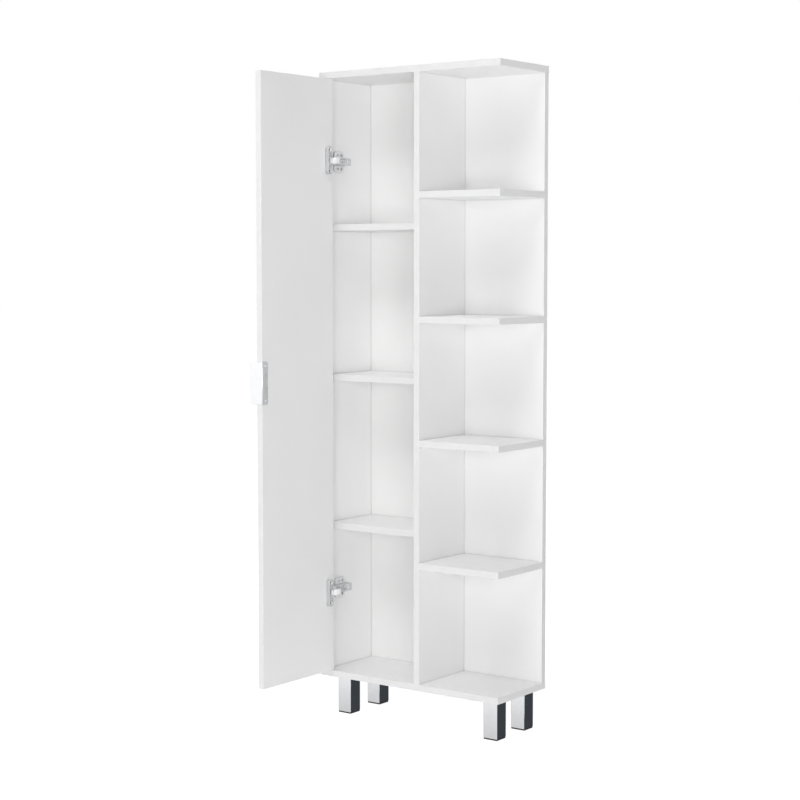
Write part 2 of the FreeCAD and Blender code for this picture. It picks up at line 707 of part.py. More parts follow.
def board_blanks():
    """The plain boards: name, size along X, Y and Z, and lowest corner."""
    upright = ("board", CARCASS_DEPTH, INNER_HEIGHT)
    cover = ("cabinet_width", "top_depth", "board")
    yield "bottom_panel", cover, (LEFT, FRONT, UNDERSIDE)
    yield "top_panel", cover, (LEFT, FRONT, CEILING)
    yield "left_side_panel", upright, (LEFT, FRONT, FLOOR_BOARD)
    yield "divider_panel", upright, (DIVIDER_LEFT, FRONT, FLOOR_BOARD)
    yield "open_back_panel", ("open_width", "board", INNER_HEIGHT), (DIVIDER_RIGHT, OPEN_BACK, FLOOR_BOARD)
    yield "door_panel", ("door_thickness", DOOR_WIDTH, DOOR_HEIGHT), (DOOR_OUTSIDE, FREE_EDGE, DOOR_BOTTOM)


def make_boards():
    for name, size, corner in board_blanks():
        blank = slab(f"{name}_blank", size, corner)
        if name in tongues:
            blank = fuse(f"{name}_tongued", [blank] + tongues[name])
        cutters = list(bores.get(name, []))
        if name in GROOVES:
            cutters.append(groove(f"{name}_groove", *GROOVES[name]))
        keep(cut(name, blank, cutters))
    back_width = f"({GROOVED_WIDTH} - 2 * groove_play)"
    back_height = f"({INNER_HEIGHT} + 2 * groove_depth - 2 * groove_play)"
    keep(slab("cupboard_back_panel", (back_width, "hardboard", back_height),
              (f"{GROOVE_LEFT} + groove_play", CUPBOARD_BACK, f"{FLOOR_BOARD} - groove_depth + groove_play")))


make_upright_tongues()
for shelf_number in range(1, OPEN_SHELVES + 1):
    make_open_shelf(shelf_number)
for shelf_number in range(1, CUPBOARD_SHELVES + 1):
    make_cupboard_shelf(shelf_number)
for corner_name, (leg_x, leg_y) in LEG_PLACES.items():
    make_leg(corner_name, leg_x, leg_y)
    make_foot(corner_name, leg_x, leg_y)
for hinge_name, hinge_height in HINGES.items():
    make_hinge_plate(hinge_name, hinge_height)
    make_hinge_arm(hinge_name, hinge_height)
    make_hinge_cup(hinge_name, hinge_height)
    make_hinge_link(hinge_name, hinge_height)
make_edge_pull()
studs = [make_leg_stud(corner_name, x, y) for corner_name, (x, y) in LEG_PLACES.items()]
make_boards()
keep(group("leg_studs", studs))
keep(group("hinge_pins", [make_hinge_pin(hinge_name, z) for hinge_name, z in HINGES.items()]))
for family, pieces in screws.items():
    keep(group(f"{family}_screws", pieces))
doc.recompute()

for item in doc.Objects:
    if "Invalid" in item.State or "Error" in item.State:
        raise RuntimeError(f"{item.Label} did not build: {item.State}")
for item in subparts:
    if item.Shape.isNull() or not item.Shape.isValid():
        raise RuntimeError(f"{item.Label} has no valid shape")

os.makedirs("parts", exist_ok=True)
for item in subparts:
    item.Shape.exportStep(os.path.join("parts", f"{item.Label}.step"))
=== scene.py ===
import math
import bmesh
import bpy
from mathutils import Matrix, Vector


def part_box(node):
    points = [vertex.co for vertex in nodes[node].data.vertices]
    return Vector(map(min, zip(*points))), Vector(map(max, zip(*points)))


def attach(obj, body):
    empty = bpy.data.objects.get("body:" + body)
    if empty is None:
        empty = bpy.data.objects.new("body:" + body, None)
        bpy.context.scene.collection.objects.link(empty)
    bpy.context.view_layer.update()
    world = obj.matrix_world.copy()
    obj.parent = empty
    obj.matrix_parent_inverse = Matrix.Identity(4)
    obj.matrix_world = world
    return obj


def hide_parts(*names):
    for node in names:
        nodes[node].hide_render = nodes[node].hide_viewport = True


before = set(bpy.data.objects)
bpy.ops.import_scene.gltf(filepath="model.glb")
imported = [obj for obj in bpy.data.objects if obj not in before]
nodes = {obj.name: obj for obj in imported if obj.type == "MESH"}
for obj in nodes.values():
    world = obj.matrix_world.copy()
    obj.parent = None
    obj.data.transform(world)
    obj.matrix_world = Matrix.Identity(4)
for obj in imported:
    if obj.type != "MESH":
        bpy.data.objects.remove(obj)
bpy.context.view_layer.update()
scene = bpy.context.scene
scene.view_settings.view_transform = "Standard"


# Camera: the photograph's viewing angle, found from the straight edges of the boards
IMAGE_SIDE = 800
FOCAL_PIXELS = 1802.4
SENSOR = 36.0
CAMERA_PLACE = Vector((2.4432, -3.2863, 1.07065))
CAMERA_YAW = math.radians(36.593)
CAMERA_PITCH = math.radians(4.228)


def make_camera():
    camera = bpy.data.cameras.new("camera")
    camera.sensor_width = SENSOR
    camera.lens = FOCAL_PIXELS * SENSOR / IMAGE_SIDE
    camera.clip_end = 200
    level = math.cos(CAMERA_PITCH)
    forward = Vector((-math.sin(CAMERA_YAW) * level, math.cos(CAMERA_YAW) * level, -math.sin(CAMERA_PITCH)))
    holder = bpy.data.objects.new("camera", camera)
    holder.location = CAMERA_PLACE
    holder.rotation_euler = forward.to_track_quat("-Z", "Y").to_euler()
    scene.collection.objects.link(holder)
    scene.camera = holder


# Shader nodes
def add_node(tree, kind, settings=(), **inputs):
    """A shader node with its settings made, and each named input set or linked to another node's output."""
    made = tree.nodes.new(f"ShaderNode{kind}")
    for name, setting in dict(settings).items():
        setattr(made, name, setting)
    for name, source in inputs.items():
        join(tree, source, made.inputs[name.replace("_", " ")])
    return made


def join(tree, source, socket):
    """Link an output to a socket, or set the socket to a value."""
    if isinstance(source, bpy.types.NodeSocket):
        tree.links.new(source, socket)
    else:
        socket.default_value = source


def calculate(tree, operation, *values):
    made = add_node(tree, "Math", {"operation": operation})
    for socket, source in zip(made.inputs, values):
        join(tree, source, socket)
    return made.outputs[0]


def new_material(name, **finish):
    """A material with a Principled shader, and the object-space place that its textures are laid on."""
    material = bpy.data.materials.new(name)
    material.use_nodes = True
    tree = material.node_tree
    shader = tree.nodes["Principled BSDF"]
    for socket, setting in finish.items():
        shader.inputs[socket.replace("_", " ")].default_value = setting
    place = tree.nodes.new("ShaderNodeTexCoord")
    return material, tree, shader, place


def noise(tree, place, scale, detail=2.0, roughness=0.5):
    made = add_node(tree, "TexNoise", Vector=place, Scale=scale, Detail=detail, Roughness=roughness)
    return made.outputs["Fac"]


def map_range(tree, source, start, end, low=0.0, high=1.0):
    made = add_node(tree, "MapRange", Value=source, From_Min=start, From_Max=end, To_Min=low, To_Max=high)
    return made.outputs[0]


NOISE_MIDDLE = (0.3, 0.7)


def spread(tree, source, low, high):
    """Map a texture's middle range onto a range of values."""
    return map_range(tree, source, *NOISE_MIDDLE, low, high)


def grey(level):
    return (level, level, level)


def blend_colours(tree, share, first, second):
    mix = tree.nodes.new("ShaderNodeMix")
    mix.data_type = "RGBA"
    tree.links.new(share, mix.inputs[0])
    for socket, colour in zip((mix.inputs[6], mix.inputs[7]), (first, second)):
        join(tree, colour if isinstance(colour, bpy.types.NodeSocket) else (*colour, 1), socket)
    return mix.outputs[2]


def bump(tree, height, depth, under=None):
    """A bump of a real depth in metres, laid over another one if it is given."""
    made = add_node(tree, "Bump", Height=height, Distance=depth)
    if under:
        tree.links.new(under, made.inputs["Normal"])
    return made.outputs["Normal"]


def stretched(tree, place, scale):
    return add_node(tree, "Mapping", Vector=place, Scale=scale).outputs["Vector"]


def facing_part(tree, place, axis):
    """One part of the surface's own direction, along an axis of the piece."""
    parts = tree.nodes.new("ShaderNodeSeparateXYZ")
    tree.links.new(place.outputs["Normal"], parts.inputs[0])
    return parts.outputs[axis]


# Materials: a crease's painted shade has a reach and a tone, and limits say where one colour gives way to
# another
SHADE_SAMPLES = 8
CREASE_LIMITS = (0.5, 0.95)
BORE_LIMITS = (0.15, 0.35)
BOARD_CREASE_SHADE = (0.005, grey(0.76))
METAL_CREASE_SHADE = (0.0015, (0.30, 0.30, 0.31))
# Painted shade for the insides of narrow bores, tinted the brown of the board's raw core
BORE_SHADE = (0.16, 0.14, 0.12)


def paint_crease_shade(tree, colour, reach, tone, bore=None):
    """Paint shade into a colour in the creases, where one piece meets the next, and darker painted shade
    into narrow bores.
    """
    crease = add_node(tree, "AmbientOcclusion", {"samples": SHADE_SAMPLES}, Distance=reach).outputs["AO"]
    if bore:
        tone = blend_colours(tree, map_range(tree, crease, *BORE_LIMITS), bore, tone)
    return blend_colours(tree, map_range(tree, crease, *CREASE_LIMITS), tone, colour)


SIDE_LIMITS = (0.6, 0.8)
FACE_CLOUD = 0.01
FLECK_SHARE = 0.25
FLECK_DARKENING = 0.027
BAND_CLOUD = 0.008
FACE_ROUGHNESS = (0.40, 0.52)
BAND_ROUGHNESS = (0.34, 0.42)
PEEL_DEPTH = 0.00004
GRAIN_DEPTH = 0.00002


def clouded_white(tree, spot, tone, change, scale, detail=2.0):
    """A white that drifts a little to either side of its tone."""
    cloud = spread(tree, noise(tree, spot, scale, detail), 0, 1)
    return blend_colours(tree, cloud, grey(tone - change), grey(tone + change))


def flecked_white(tree, spot, tone):
    """A clouded white with fine flecks."""
    white = clouded_white(tree, spot, tone, FACE_CLOUD, scale=5, detail=3)
    fleck = spread(tree, noise(tree, spot, 900), 0, FLECK_SHARE)
    return blend_colours(tree, fleck, white, grey(tone - FLECK_DARKENING))


def white_board(name, band_tone, face_tone=0.872, outer_tone=None, faces_front=False):
    """Melamine-faced board: finely pearled faces, with smoother and slightly greyer bands on its edges,
    partly as painted shade.

    An outer tone is that of the face that looks along -X, where it differs, and is painted shade."""
    material, tree, shader, place = new_material(name, IOR=1.48)
    spot = place.outputs["Object"]
    frontal = calculate(tree, "ABSOLUTE", facing_part(tree, place, "Y"))
    is_face = map_range(tree, frontal, *(SIDE_LIMITS if faces_front else reversed(SIDE_LIMITS)))

    face_white = flecked_white(tree, spot, face_tone)
    if outer_tone:
        is_outer = map_range(tree, facing_part(tree, place, "X"), *(-limit for limit in SIDE_LIMITS))
        face_white = blend_colours(tree, is_outer, face_white, flecked_white(tree, spot, outer_tone))
    band_white = clouded_white(tree, spot, band_tone, BAND_CLOUD, scale=60)
    white = blend_colours(tree, is_face, band_white, face_white)
    # Painted shade darkens the board's colour in its creases and bores.
    tree.links.new(paint_crease_shade(tree, white, *BOARD_CREASE_SHADE, bore=BORE_SHADE), shader.inputs["Base Color"])

    pearl = spread(tree, noise(tree, spot, 420, detail=3), *FACE_ROUGHNESS)
    band = spread(tree, noise(tree, spot, 150), *BAND_ROUGHNESS)
    roughness = add_node(tree, "Mix", Factor=is_face)
    tree.links.new(band, roughness.inputs[2])
    tree.links.new(pearl, roughness.inputs[3])
    tree.links.new(roughness.outputs[0], shader.inputs["Roughness"])

    peel = bump(tree, noise(tree, spot, 160), PEEL_DEPTH)
    grain = bump(tree, noise(tree, spot, 1100), GRAIN_DEPTH, under=peel)
    tree.links.new(grain, shader.inputs["Normal"])
    return material


REAR_LIMITS = (0.4, 0.6)
FIBRE_SCALE = (700, 700, 250)
FIBRE_ROUGHNESS = (0.45, 0.62)
FIBRE_DEPTH = 0.00002
WEAVE_SCALE = 120.0
WEAVE_DEPTH = 0.00015


def hardboard():
    """Thin pressed board: painted smooth in front, with the screen's weave pressed into its rear face."""
    material, tree, shader, place = new_material("painted_hardboard", IOR=1.47)
    spot = place.outputs["Object"]
    is_rear = map_range(tree, facing_part(tree, place, "Y"), *REAR_LIMITS)
    fibre = noise(tree, stretched(tree, spot, FIBRE_SCALE), 1, detail=4, roughness=0.6)
    cloud = spread(tree, noise(tree, spot, 6, detail=3), 0, 1)
    front = blend_colours(tree, cloud, (0.860, 0.860, 0.857), (0.880, 0.880, 0.877))
    rear = blend_colours(tree, spread(tree, fibre, 0, 1), (0.70, 0.685, 0.655), (0.78, 0.77, 0.745))
    painted = blend_colours(tree, is_rear, front, rear)
    # Painted shade darkens the hardboard's colour in its creases.
    tree.links.new(paint_crease_shade(tree, painted, *BOARD_CREASE_SHADE), shader.inputs["Base Color"])
    tree.links.new(spread(tree, fibre, *FIBRE_ROUGHNESS), shader.inputs["Roughness"])
    waves = [add_node(tree, "TexWave", {"bands_direction": axis}, Vector=spot, Scale=WEAVE_SCALE)
             for axis in "XZ"]
    weave = calculate(tree, "MULTIPLY", *(wave.outputs["Fac"] for wave in waves))
    pressed = calculate(tree, "MULTIPLY", weave, is_rear)
    fine = bump(tree, fibre, FIBRE_DEPTH)
    tree.links.new(bump(tree, pressed, WEAVE_DEPTH, under=fine), shader.inputs["Normal"])
    return material


EDGE_REACH = 0.001
EDGE_LIMITS = (0.8, 0.98)
SIDE_SHADE_LIMITS = (0.76, 0.86)
HOLLOW_LIMITS = (0.9, 0.7)
LINE_WEAR = 0.02


def paint_edge_shade(tree, colour, edge):
    """Paint shade into a colour along the edges of a piece, where its normals would be rounded off."""
    rounded = add_node(tree, "Bevel", {"samples": SHADE_SAMPLES}, Radius=EDGE_REACH)
    straight = tree.nodes.new("ShaderNodeNewGeometry")
    likeness = add_node(tree, "VectorMath", {"operation": "DOT_PRODUCT"})
    for socket, source in zip(likeness.inputs, (rounded, straight)):
        tree.links.new(source.outputs["Normal"], socket)
    return blend_colours(tree, map_range(tree, likeness.outputs["Value"], *EDGE_LIMITS), edge, colour)


def metal(name, dark, light, polish, cloud_scale, line_scale, line_depth, metallic=1.0, wall=None,
          wall_limits=SIDE_SHADE_LIMITS, hollow=None, edge=None):
    """Plated or brushed metal: clouded colour and polish, with fine lines or a fine blasted grain.

    A wall colour is painted shade on the sides of a piece, round the face that looks along X. An edge colour
    is painted shade along its edges, with darker painted shade in the creases round the piece. The reach and
    colour of hollow paint light into its pockets."""
    material, tree, shader, place = new_material(name, Metallic=metallic)
    spot = place.outputs["Object"]
    cloud = noise(tree, spot, cloud_scale, detail=3, roughness=0.6)
    colour = blend_colours(tree, spread(tree, cloud, 0, 1), dark, light)
    # A wall colour paints shade on the sides that do not look along X.
    if wall:
        facing = calculate(tree, "ABSOLUTE", facing_part(tree, place, "X"))
        colour = blend_colours(tree, map_range(tree, facing, *wall_limits), wall, colour)
    # An edge colour is painted shade along the piece's edges.
    if edge:
        # Painted shade darkens the metal in the creases round it, where it meets the next piece.
        colour = paint_crease_shade(tree, paint_edge_shade(tree, colour, edge), *METAL_CREASE_SHADE)
    # Painted light brightens the piece's sheltered pockets.
    if hollow:
        reach, bright = hollow
        local = {"samples": SHADE_SAMPLES, "only_local": True}
        shelter = add_node(tree, "AmbientOcclusion", local, Distance=reach)
        colour = blend_colours(tree, map_range(tree, shelter.outputs["AO"], *HOLLOW_LIMITS), colour, bright)
    tree.links.new(colour, shader.inputs["Base Color"])
    lines = noise(tree, stretched(tree, spot, line_scale), 1, detail=3)
    wear = calculate(tree, "ADD", spread(tree, cloud, *polish), spread(tree, lines, -LINE_WEAR, LINE_WEAR))
    tree.links.new(wear, shader.inputs["Roughness"])
    tree.links.new(bump(tree, lines, line_depth), shader.inputs["Normal"])
    return material


BLASTED = (3000, 3000, 3000)
# Painted shade on the sides of the hinge plate and arm
SIDE_SHADE = (0.60, 0.605, 0.615)
# Painted shade along the edges of the nickel and aluminium pieces
EDGE_SHADE = (0.38, 0.385, 0.395)
NICKEL_CLOUD = 0.03
NICKEL_TINT = (0, 0.005, 0.015)


def nickel(name, tone, **parts):
    """Satin nickel of a given grey."""
    dark, light = (tuple(level + tint for tint in NICKEL_TINT)
                   for level in (tone - NICKEL_CLOUD, tone + NICKEL_CLOUD))
    return metal(name, dark, light, polish=(0.68, 0.76), cloud_scale=180, line_scale=BLASTED,
                 line_depth=0.000006, edge=EDGE_SHADE, **parts)


def steel(name, dark, light, polish, **parts):
    """Plated steel of a screw, or a dark steel whose darkness is painted shade."""
    return metal(name, dark, light, polish, cloud_scale=300, line_scale=BLASTED,
                 line_depth=0.000008, **parts)


FOOT_ROUGHNESS = (0.42, 0.6)
FOOT_GRAIN_DEPTH = 0.00005


def foot_plastic():
    """Dark moulded plastic, finely grained and a little scuffed."""
    material, tree, shader, place = new_material("foot_plastic", IOR=1.5)
    spot = place.outputs["Object"]
    grain = noise(tree, spot, 1500)
    scuff = noise(tree, spot, 90, detail=4, roughness=0.7)
    colour = blend_colours(tree, spread(tree, scuff, 0, 1), (0.012, 0.012, 0.013), (0.022, 0.022, 0.023))
    tree.links.new(colour, shader.inputs["Base Color"])
    tree.links.new(spread(tree, scuff, *FOOT_ROUGHNESS), shader.inputs["Roughness"])
    tree.links.new(bump(tree, grain, FOOT_GRAIN_DEPTH), shader.inputs["Normal"])
    return material


ZINC_POLISH = (0.30, 0.40)
# Painted light for the pockets of the hinge cup and arm
HOLLOW_PAINTED_LIGHT = grey(0.95)
FINISHES = {
    # Face, band and outer tones differ by piece as painted light and shade, set for the light each piece
    # gets.
    "board": white_board("white_board", band_tone=0.745),
    "side_board": white_board("white_side_board", band_tone=0.745, face_tone=0.92),
    "door_board": white_board("white_door_board", band_tone=0.795, outer_tone=0.785),
    "back_board": white_board("white_back_board", band_tone=0.85, faces_front=True),
    "hardboard": hardboard(),
    "chrome": metal("chrome", dark=(0.82, 0.83, 0.85), light=(0.88, 0.885, 0.9), polish=(0.035, 0.06),
                    cloud_scale=45, line_scale=(2500, 2500, 30), line_depth=0.000001),
    # The nickel tones differ by piece as painted light and shade, set for the light each piece gets.
    "cup": nickel("cast_nickel", tone=0.61, hollow=(0.008, HOLLOW_PAINTED_LIGHT)),
    "plate": nickel("pressed_nickel", tone=0.90, wall=SIDE_SHADE),
    "arm": nickel("folded_nickel", tone=0.75, wall=SIDE_SHADE, hollow=(0.02, HOLLOW_PAINTED_LIGHT)),
    # The link's near-white is a painted reflection, and its wall colour is painted shade on its sides.
    "link": metal("link_steel_painted_light", dark=grey(0.95), light=grey(0.99), polish=(0.40, 0.48), cloud_scale=200,
                  line_scale=(2600, 2600, 200), line_depth=0.000004, metallic=0.1, wall=grey(0.55)),
    "zinc": steel("zinc", (0.86, 0.86, 0.87), (0.94, 0.94, 0.945), ZINC_POLISH, metallic=0.6),
    # Screw heads with a near-white top as painted highlight and dark sides as painted shade
    "sunk_zinc_painted_light": steel("sunk_zinc_painted_light", (0.94, 0.94, 0.945), grey(0.98), ZINC_POLISH, metallic=0.1,
                       wall=(0.10, 0.10, 0.105), wall_limits=SIDE_LIMITS),
    # The cup screws' dark steel is painted shade for their shaded recesses.
    "painted_shade_steel": steel("painted_shade_steel", (0.20, 0.20, 0.205), (0.27, 0.27, 0.275), polish=(0.35, 0.45)),
    "aluminium": metal("brushed_aluminium", dark=(0.68, 0.685, 0.70), light=(0.72, 0.725, 0.74),
                       polish=(0.28, 0.31), cloud_scale=60, line_scale=(4200, 4200, 25), line_depth=0.000004,
                       edge=EDGE_SHADE),
    "plastic": foot_plastic(),
}
BOARDS = ("board", "side_board", "door_board", "back_board")
HINGE_METALS = ("cup", "plate", "arm", "link")
OWN_FINISHES = {
    "left_side_panel": "side_board",
    "door_panel": "door_board",
    "open_back_panel": "back_board",
    "cupboard_back_panel": "hardboard",
    "edge_pull": "aluminium",
    "leg_studs": "zinc",
    "hinge_pins": "zinc",
}


def finish_of(name):
    """The finish of a CAD node, by its name."""
    if name in OWN_FINISHES:
        return OWN_FINISHES[name]
    if name.endswith("_panel") or "_shelf_" in name:
        return "board"
    if name.endswith("_screws"):
        return "zinc"
    if name.startswith("leg_"):
        return "chrome"
    if name.startswith("foot_"):
        return "plastic"
    return next(part for part in HINGE_METALS if name.startswith(f"hinge_{part}_"))


# Rounded edges on the CAD pieces, in metres
BOARD_EASE = 0.0003
METAL_EASE = 0.0002
PULL_EASE = 0.0004
EASE_SEGMENTS = 2
SHARP_ANGLE = math.radians(40)
WELD_REACH = 1e-6
SIDE_REACH = 1e-5


def outer_edges(item):
    """Mark the edges that lie on two sides of a piece's box."""
    mesh = item.data
    low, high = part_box(item.name)
    weights = mesh.attributes.new("bevel_weight_edge", "FLOAT", "EDGE")

    def sides(vertex):
        return {(axis, side) for axis in range(3) for side, limit in enumerate((low, high))
                if abs(vertex.co[axis] - limit[axis]) < SIDE_REACH}

    for edge in mesh.edges:
        shared = sides(mesh.vertices[edge.vertices[0]]) & sides(mesh.vertices[edge.vertices[1]])
        weights.data[edge.index].value = 1.0 if len(shared) >= 2 else 0.0


def ease_edges(item, width, outer_only=False, clamped=False):
    """Round the sharp edges of a piece, or just its outer ones, with the shading of its faces evened out."""
    weld = item.modifiers.new("weld", "WELD")
    weld.merge_threshold = WELD_REACH
    bevel = item.modifiers.new("ease", "BEVEL")
    bevel.width = width
    bevel.segments = EASE_SEGMENTS
    bevel.harden_normals = True
    bevel.use_clamp_overlap = clamped
    if outer_only:
        outer_edges(item)
        bevel.limit_method = "WEIGHT"
        even = item.modifiers.new("even", "WEIGHTED_NORMAL")
        even.keep_sharp = True
    else:
        bevel.limit_method = "ANGLE"
        bevel.angle_limit = SHARP_ANGLE


def dress_nodes():
    for name, item in nodes.items():
        finish = finish_of(name)
        item.data.materials.clear()
        item.data.materials.append(FINISHES[finish])
        if finish in BOARDS:
            ease_edges(item, BOARD_EASE, outer_only=True)
        elif finish in HINGE_METALS:
            ease_edges(item, METAL_EASE, clamped=True)
        elif finish == "aluminium":
            ease_edges(item, PULL_EASE, clamped=True)


# Screws with a cross recess and a thread, in the places of the plain CAD screws, whose heads face +X
SCREW_GROUPS = {
    "hinge_plate_screws": ("carcass", "sunk_zinc_painted_light"),
    "hinge_arm_screws": ("carcass", "zinc"),
    "hinge_cup_screws": ("door", "painted_shade_steel"),
    "pull_screws": ("door", "zinc"),
}
MERGE_DIGITS = 6
HEAD_RIM = 0.9
SEAT_MARGIN = 1e-4
SEGMENTS = 32
HEAD_TURN = 0.7
HEAD_SHOULDER = ((0.70, 1.0), (0.84, 0.93), (0.94, 0.76), (0.99, 0.5), (1.0, 0.2), (0.97, 0.0))
CROSS_TOP = (0.52, 0.13)
CROSS_FLOOR = (0.40, 0.09)
CROSS_FLOOR_HEIGHT = 0.35
THREAD_PITCH = 0.0011
THREAD_START = 0.75
THREAD_FLANK = 0.3
THREAD_CREST = 0.99
THREAD_ROOT = 0.74
TIP_RADIUS = 0.1
TIP_LENGTH = 0.99


def loose_parts(mesh):
    """The sets of points of a mesh that hang together, with points in one place taken as one."""
    owner = {}

    def root(key):
        while owner[key] != key:
            key = owner[key]
        return key

    keys = [tuple(round(part, MERGE_DIGITS) for part in vertex.co) for vertex in mesh.vertices]
    for key in keys:
        owner[key] = key
    for edge in mesh.edges:
        first, second = (root(keys[index]) for index in edge.vertices)
        owner[first] = second
    parts = {}
    for key in owner:
        parts.setdefault(root(key), []).append(Vector(key))
    return sorted(parts.values(), key=lambda points: min(points, key=lambda p: (p.z, p.y)).to_tuple())


def screw_sizes(points):
    """Where a plain screw's head is seated, and its radii and lengths."""
    low = [min(p[axis] for p in points) for axis in range(3)]
    high = [max(p[axis] for p in points) for axis in range(3)]
    middle = [(a + b) / 2 for a, b in zip(low, high)]
    head_radius = (high[1] - low[1]) / 2
    rim = [p for p in points if math.hypot(p.y - middle[1], p.z - middle[2]) > HEAD_RIM * head_radius]
    seat = min(p.x for p in rim)
    shank_radius = max(abs(p.y - middle[1]) for p in points if p.x < seat - SEAT_MARGIN)
    return Vector((seat, middle[1], middle[2])), head_radius, high[0] - seat, shank_radius, seat - low[0]


def screw_profile(head_radius, head_height, shank_radius, length):
    """Radius and height of each ring, from the rim of the head's flat top down to the point."""
    rings = [(radius * head_radius, height * head_height) for radius, height in HEAD_SHOULDER]
    rings.append((shank_radius, 0))
    turns = int((length - 2 * THREAD_PITCH) / THREAD_PITCH)
    for turn in range(turns):
        crest = -(turn + THREAD_START) * THREAD_PITCH
        rings.append((THREAD_ROOT * shank_radius, crest + THREAD_FLANK * THREAD_PITCH))
        rings.append((THREAD_CREST * shank_radius, crest))
        rings.append((THREAD_ROOT * shank_radius, crest - THREAD_FLANK * THREAD_PITCH))
    rings.append((TIP_RADIUS * shank_radius, -TIP_LENGTH * length))
    return rings


def cross_outline(reach, half_width):
    """The twelve corners of a cross, in order."""
    arm = [(half_width, half_width), (half_width, reach), (-half_width, reach)]
    corners = []
    for quarter in range(4):
        turned = Matrix.Rotation(quarter * math.pi / 2, 2)
        corners += [turned @ Vector(corner) for corner in arm]
    return corners


def add_screw(model, head_radius, head_height, shank_radius, length, placing):
    """Add one screw to a model: rings for the head and the thread, and a cross pressed into the head."""
    made = []

    def loop(points, height):
        circle = [model.verts.new((x, y, height)) for x, y in points]
        made.extend(circle)
        return circle

    def wall(upper, lower):
        for index in range(len(upper)):
            following = (index + 1) % len(upper)
            model.faces.new((upper[index], lower[index], lower[following], upper[following])).smooth = True

    turns = [2 * math.pi * step / SEGMENTS for step in range(SEGMENTS)]
    loops = []
    for radius, height in screw_profile(head_radius, head_height, shank_radius, length):
        loops.append(loop([(radius * math.cos(turn), radius * math.sin(turn)) for turn in turns], height))
    for upper, lower in zip(loops, loops[1:]):
        wall(upper, lower)
    model.faces.new(list(reversed(loops[-1])))

    top = loop(cross_outline(*(part * head_radius for part in CROSS_TOP)), head_height)
    floor_height = CROSS_FLOOR_HEIGHT * head_height
    floor = loop(cross_outline(*(part * head_radius for part in CROSS_FLOOR)), floor_height)
    for index in range(len(top)):
        following = (index + 1) % len(top)
        model.faces.new((top[following], floor[following], floor[index], top[index]))
    model.faces.new(floor)
    rim = [model.edges.get((a, b)) or model.edges.new((a, b)) for ring in (loops[0], top)
           for a, b in zip(ring, ring[1:] + ring[:1])]
    bmesh.ops.triangle_fill(model, edges=rim, use_beauty=True, normal=(0, 0, 1))
    bmesh.ops.transform(model, matrix=placing, verts=made)


def make_screws():
    facing = Matrix.Rotation(math.pi / 2, 4, "Y")
    for group, (body, finish) in SCREW_GROUPS.items():
        model = bmesh.new()
        for number, points in enumerate(loose_parts(nodes[group].data)):
            seat, *sizes = screw_sizes(points)
            placing = Matrix.Translation(seat) @ facing @ Matrix.Rotation(HEAD_TURN * number, 4, "Z")
            add_screw(model, *sizes, placing)
        mesh = bpy.data.meshes.new(f"{group}_threaded")
        model.to_mesh(mesh)
        model.free()
        mesh.materials.append(FINISHES[finish])
        screws = bpy.data.objects.new(f"{group}_threaded", mesh)
        scene.collection.objects.link(screws)
        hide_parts(group)
        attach(screws, body)


# Stage: a pale floor that stays white to the camera and keeps a soft shadow, and the lights
FLOOR_SIDE = 60.0
FLOOR_LEVEL = -0.0005
FLOOR_SHOWN = 0.25
FLOOR_FELT = 0.8
FLOOR_GLOW = 0.35
SHADOW_REACH = (0.3, 1.2)
SHADOW_GLOWS = (0.9, 1.0)
WORLD_STRENGTH = 0.1


def seen_directly(tree):
    """1 for rays that show a surface, straight or in metal or glass, and 0 for rays that gather light."""
    path = tree.nodes.new("ShaderNodeLightPath")
    shown = calculate(tree, "MAXIMUM", path.outputs["Is Camera Ray"], path.outputs["Is Glossy Ray"])
    return calculate(tree, "MAXIMUM", shown, path.outputs["Is Transmission Ray"])


def rectangle(low, high):
    return [(low[0], low[1]), (high[0], low[1]), (high[0], high[1]), (low[0], high[1])]


def flat_piece(name, corners, height, material):
    """A level four-cornered piece of the stage."""
    mesh = bpy.data.meshes.new(name)
    mesh.from_pydata([(x, y, height) for x, y in corners], [], [(0, 1, 2, 3)])
    mesh.materials.append(material)
    piece = bpy.data.objects.new(name, mesh)
    scene.collection.objects.link(piece)
    return piece


def lit_and_glowing(tree, tone, glow):
    """A matt surface that also gives light of its own."""
    matt = add_node(tree, "BsdfDiffuse", Color=(*grey(tone), 1))
    emission = add_node(tree, "Emission", Strength=glow)
    both = add_node(tree, "AddShader")
    tree.links.new(matt.outputs[0], both.inputs[0])
    tree.links.new(emission.outputs[0], both.inputs[1])
    return both.outputs[0]


def make_floor():
    material = bpy.data.materials.new("floor")
    material.use_nodes = True
    tree = material.node_tree
    tree.nodes.clear()
    spot = tree.nodes.new("ShaderNodeTexCoord").outputs["Object"]
    distance = add_node(tree, "VectorMath", {"operation": "LENGTH"})
    tree.links.new(spot, distance.inputs[0])
    white = map_range(tree, distance.outputs["Value"], *SHADOW_REACH, *SHADOW_GLOWS)
    shown = lit_and_glowing(tree, FLOOR_SHOWN, white)
    felt = lit_and_glowing(tree, FLOOR_FELT, FLOOR_GLOW)
    mix = add_node(tree, "MixShader", Fac=seen_directly(tree))
    tree.links.new(felt, mix.inputs[1])
    tree.links.new(shown, mix.inputs[2])
    output = tree.nodes.new("ShaderNodeOutputMaterial")
    tree.links.new(mix.outputs[0], output.inputs["Surface"])
    half = FLOOR_SIDE / 2
    flat_piece("floor", rectangle((-half, -half), (half, half)), FLOOR_LEVEL, material)


def make_world():
    world = bpy.data.worlds.new("studio")
    scene.world = world
    world.use_nodes = True
    tree = world.node_tree
    background = tree.nodes["Background"]
    background.inputs["Color"].default_value = (1, 1, 1, 1)
    strength = map_range(tree, seen_directly(tree), 0, 1, WORLD_STRENGTH, 1.0)
    tree.links.new(strength, background.inputs["Strength"])


